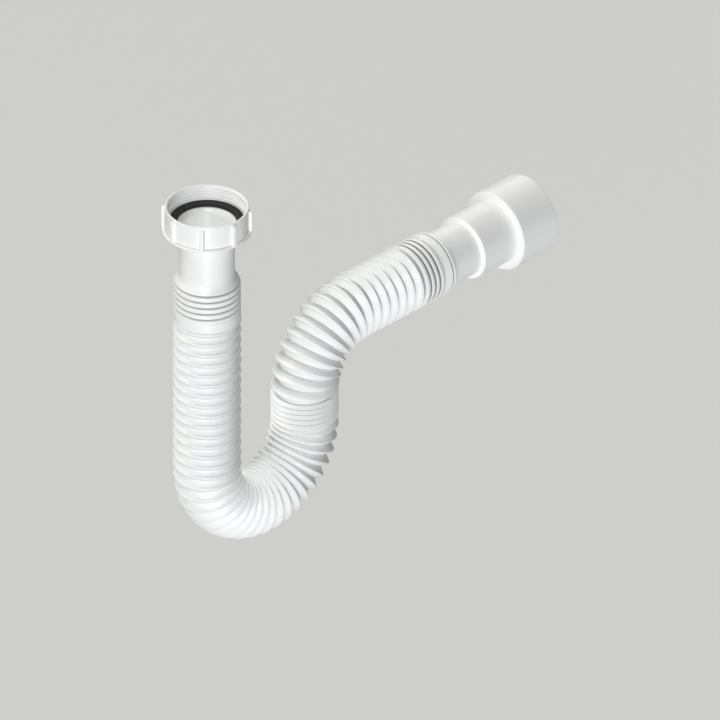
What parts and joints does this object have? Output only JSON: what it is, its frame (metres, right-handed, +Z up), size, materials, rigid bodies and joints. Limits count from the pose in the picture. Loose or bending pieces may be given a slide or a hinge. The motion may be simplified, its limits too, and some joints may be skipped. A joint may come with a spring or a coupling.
{
  "type": "extendable flexible waste pipe",
  "caption": "Flexible folded waste pipe set as a trap bend, with a coupling nut and washer at the inlet and a stepped push-fit outlet.",
  "frame": {"origin": "middle of the washer's upper, sealing face, on the axis of the coupling nut", "axes": "+Z up the nut's axis towards the fitting it screws to, +X the way the outlet leaves, the pipe's centreline in the plane Y = 0"},
  "size_m": [0.2975, 0.0544, 0.2426],
  "materials": {
    "moulded_white": "smooth white moulded polypropylene, satin to glossy",
    "folded_white": "white blown polypropylene, satin",
    "black_rubber": "black moulded rubber"
  },
  "bodies": {
    "inlet": {"inlet_tail": "moulded_white", "sealing_washer": "black_rubber", "bellows_leg": "folded_white"},
    "nut": {"coupling_nut": "moulded_white"},
    "trap": {"bellows_trap": "folded_white"},
    "riser": {"bellows_riser": "folded_white"},
    "elbow": {"bellows_elbow": "folded_white"},
    "run": {"bellows_run": "folded_white"},
    "outlet": {"outlet_cuff": "moulded_white", "outlet_adaptor": "moulded_white"}
  },
  "joints": [
    {"name": "nut_turn", "type": "hinge", "parent": "inlet", "child": "nut", "pos_m": [0, 0, 0], "axis": [0, 0, 1], "continuous": true},
    {"name": "leg_closing", "type": "slide", "parent": "inlet", "child": "trap", "axis": [0, 0, 1], "range_m": [0, 0.0525], "deforming": ["bellows_leg"]},
    {"name": "trap_opening", "type": "hinge", "parent": "trap", "child": "riser", "pos_m": [0.041, 0, -0.1723], "axis": [0, 1, 0], "range_deg": [-15, 30], "deforming": ["bellows_trap"]},
    {"name": "riser_stretch", "type": "slide", "parent": "riser", "child": "elbow", "axis": [0, 0, 1], "range_m": [0, 0.0175], "deforming": ["bellows_riser"]},
    {"name": "elbow_bend", "type": "hinge", "parent": "elbow", "child": "run", "pos_m": [0.123, 0, -0.1543], "axis": [0, 1, 0], "range_deg": [-30, 45], "deforming": ["bellows_elbow"]},
    {"name": "run_closing", "type": "slide", "parent": "run", "child": "outlet", "axis": [-1, 0, 0], "range_m": [0, 0.021], "deforming": ["bellows_run"]}
  ]
}
